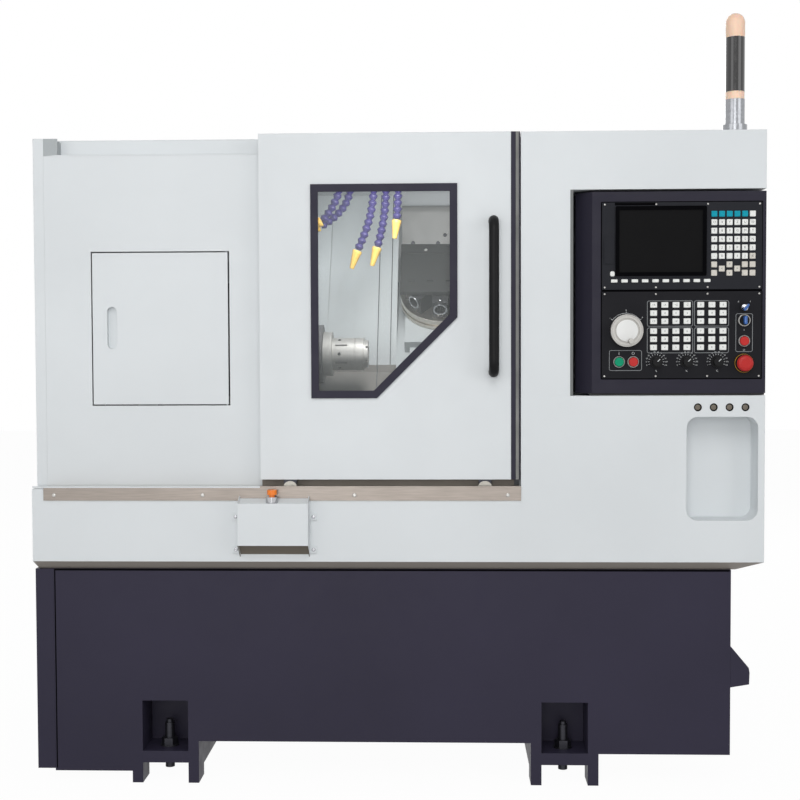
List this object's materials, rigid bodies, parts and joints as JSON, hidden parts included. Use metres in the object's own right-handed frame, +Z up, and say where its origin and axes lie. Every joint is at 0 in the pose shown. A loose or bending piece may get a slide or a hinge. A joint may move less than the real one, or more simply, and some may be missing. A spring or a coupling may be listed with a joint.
{
  "type": "cnc turning lathe",
  "caption": "Enclosed slant-bed turning lathe with a sliding windowed door, swivelling operator panel, collet spindle, indexing turret and signal tower.",
  "frame": {"origin": "on the floor under the middle of the machine", "axes": "+X to the right of the operator, +Y to the rear, +Z up"},
  "size_m": [1.84, 1.39, 1.9395],
  "materials": {
    "base_paint": "dark violet-grey semi-gloss paint",
    "light_paint": "light grey fine-texture paint",
    "dark_paint": "dark violet-grey paint",
    "grey_sheet": "light grey lining paint",
    "stainless": "brushed stainless",
    "steel": "ground steel",
    "iron": "painted and machined iron",
    "cover_iron": "light grey paint on iron",
    "cover_steel": "light grey telescopic cover sheet",
    "hose": "blue-violet hose links",
    "nozzle": "yellow nozzle",
    "glass": "clear pane",
    "black": "black plastic",
    "rubber": "black rubber",
    "unit": "charcoal panel plate",
    "keys": "key caps",
    "screen": "screen pane",
    "red": "red plastic",
    "green": "green plastic",
    "blue": "blue plastic",
    "orange": "orange plastic",
    "chrome": "bright plating",
    "lamp": "peach frosted plastic",
    "motor": "dark motor paint",
    "aluminium": "turned aluminium rim"
  },
  "bodies": {
    "machine": {"base_casting": "base_paint", "base_end_cover": "base_paint", "drain_spout": "base_paint", "levelling_screws": "steel", "under_skirt": "grey_sheet", "front_cover": "light_paint", "cover_trays": "light_paint", "door_rail": "stainless", "left_panel": "light_paint", "top_track": "light_paint", "side_panels": "light_paint", "roof_panel": "light_paint", "electrical_cabinet": "light_paint", "chamber_lining": "grey_sheet", "bed_casting": "iron", "headstock": "iron", "spindle_motor": "motor", "drive_belt": "rubber", "way_cover_fixed": "cover_steel", "coolant_hoses": "hose", "coolant_nozzles": "nozzle", "switch_box": "light_paint", "tower_base": "chrome", "tower_lamp": "lamp", "tower_sleeve": "black"},
    "door": {"door_panel": "light_paint", "window_frame": "dark_paint", "window_glass": "glass", "door_handle": "black", "door_edge_trim": "dark_paint"},
    "roller_left": {"roller_left": "black"},
    "roller_right": {"roller_right": "black"},
    "access_door": {"access_door": "light_paint"},
    "operator_panel": {"panel_box": "dark_paint", "cnc_bezel": "unit", "cnc_screen": "screen", "panel_keys": "keys", "machine_plate": "unit"},
    "estop_button": {"estop_button": "red"},
    "start_button": {"start_button": "green"},
    "stop_button": {"stop_button": "red"},
    "reset_button": {"reset_button": "red"},
    "key_switch": {"key_switch": "chrome"},
    "mode_selector": {"mode_selector": "black"},
    "feed_knob": {"feed_knob": "black"},
    "rapid_knob": {"rapid_knob": "black"},
    "spindle_knob": {"spindle_knob": "black"},
    "handwheel": {"handwheel": "aluminium"},
    "box_button": {"box_button": "orange"},
    "motor_pulley": {"motor_pulley": "steel"},
    "ball_screw": {"ball_screw": "steel"},
    "way_cover_middle": {"way_cover_middle": "cover_steel"},
    "cross_slide": {"cross_slide": "iron"},
    "spindle": {"spindle": "steel", "collet_chuck": "steel"},
    "saddle": {"saddle": "cover_iron", "motor_housing": "light_paint", "way_cover_end": "cover_steel"},
    "turret": {"turret_disc": "steel", "tool_holders": "iron"}
  },
  "joints": [
    {"name": "door_slide", "type": "slide", "parent": "machine", "child": "door", "axis": [1, 0, 0], "range_m": [-0.51, 0]},
    {"name": "roller_left_spin", "type": "hinge", "parent": "door", "child": "roller_left", "pos_m": [-0.2645, -0.62, 0.7763], "axis": [0, 1, 0], "continuous": true},
    {"name": "roller_right_spin", "type": "hinge", "parent": "door", "child": "roller_right", "pos_m": [0.2265, -0.62, 0.7763], "axis": [0, 1, 0], "continuous": true},
    {"name": "access_hinge", "type": "hinge", "parent": "machine", "child": "access_door", "pos_m": [-0.429, -0.589, 1.162], "axis": [0, 0, 1], "range_deg": [0, 105]},
    {"name": "panel_swivel", "type": "hinge", "parent": "machine", "child": "operator_panel", "pos_m": [0.5225, -0.58, 1.2455], "axis": [0, 0, -1], "range_deg": [0, 70]},
    {"name": "start_button_press", "type": "slide", "parent": "operator_panel", "child": "start_button", "axis": [0, 1, 0], "range_m": [0, 0.003]},
    {"name": "stop_button_press", "type": "slide", "parent": "operator_panel", "child": "stop_button", "axis": [0, 1, 0], "range_m": [0, 0.003]},
    {"name": "reset_button_press", "type": "slide", "parent": "operator_panel", "child": "reset_button", "axis": [0, 1, 0], "range_m": [0, 0.003]},
    {"name": "estop_button_press", "type": "slide", "parent": "operator_panel", "child": "estop_button", "axis": [0, 1, 0], "range_m": [0, 0.0035]},
    {"name": "key_switch_turn", "type": "hinge", "parent": "operator_panel", "child": "key_switch", "pos_m": [0.8665, -0.643, 1.2075], "axis": [0, 1, 0], "range_deg": [0, 90]},
    {"name": "mode_selector_turn", "type": "hinge", "parent": "operator_panel", "child": "mode_selector", "pos_m": [0.8665, -0.643, 1.176], "axis": [0, 1, 0], "range_deg": [0, 90]},
    {"name": "feed_knob_turn", "type": "hinge", "parent": "operator_panel", "child": "feed_knob", "pos_m": [0.6505, -0.643, 1.074], "axis": [0, 1, 0], "range_deg": [-150, 120]},
    {"name": "rapid_knob_turn", "type": "hinge", "parent": "operator_panel", "child": "rapid_knob", "pos_m": [0.7255, -0.643, 1.074], "axis": [0, 1, 0], "range_deg": [-150, 120]},
    {"name": "spindle_knob_turn", "type": "hinge", "parent": "operator_panel", "child": "spindle_knob", "pos_m": [0.8005, -0.643, 1.074], "axis": [0, 1, 0], "range_deg": [-150, 120]},
    {"name": "handwheel_turn", "type": "hinge", "parent": "operator_panel", "child": "handwheel", "pos_m": [0.576, -0.643, 1.1515], "axis": [0, 1, 0], "continuous": true},
    {"name": "box_button_press", "type": "slide", "parent": "machine", "child": "box_button", "axis": [0, 0, -1], "range_m": [0, 0.004]},
    {"name": "spindle_spin", "type": "hinge", "parent": "machine", "child": "spindle", "pos_m": [-0.4, -0.2, 1.095], "axis": [1, 0, 0], "continuous": true},
    {"name": "motor_spin", "type": "hinge", "parent": "machine", "child": "motor_pulley", "pos_m": [-0.77, -0.452, 0.715], "axis": [1, 0, 0], "continuous": true},
    {"name": "carriage_slide", "type": "slide", "parent": "machine", "child": "saddle", "axis": [1, 0, 0], "range_m": [-0.03, 0.3]},
    {"name": "screw_spin", "type": "hinge", "parent": "machine", "child": "ball_screw", "pos_m": [0.1, -0.00555, 1.04904], "axis": [1, 0, 0], "continuous": true},
    {"name": "leaf_slide", "type": "slide", "parent": "machine", "child": "way_cover_middle", "axis": [1, 0, 0], "range_m": [-0.015, 0.15]},
    {"name": "cross_slide_travel", "type": "slide", "parent": "saddle", "child": "cross_slide", "axis": [0, -0.7071, -0.7071], "range_m": [0, 0.15]},
    {"name": "turret_index", "type": "hinge", "parent": "cross_slide", "child": "turret", "pos_m": [0.114, 0.00294, 1.29794], "axis": [0, -0.7071, 0.7071], "continuous": true}
  ],
  "couplings": [
    {"joint": "roller_left_spin", "follows": "door_slide", "rad_per_m": 62.5},
    {"joint": "roller_right_spin", "follows": "door_slide", "rad_per_m": 62.5},
    {"joint": "motor_spin", "follows": "spindle_spin", "ratio": 1.3636},
    {"joint": "screw_spin", "follows": "carriage_slide", "rad_per_m": 628.32},
    {"joint": "leaf_slide", "follows": "carriage_slide", "ratio": 0.5}
  ]
}
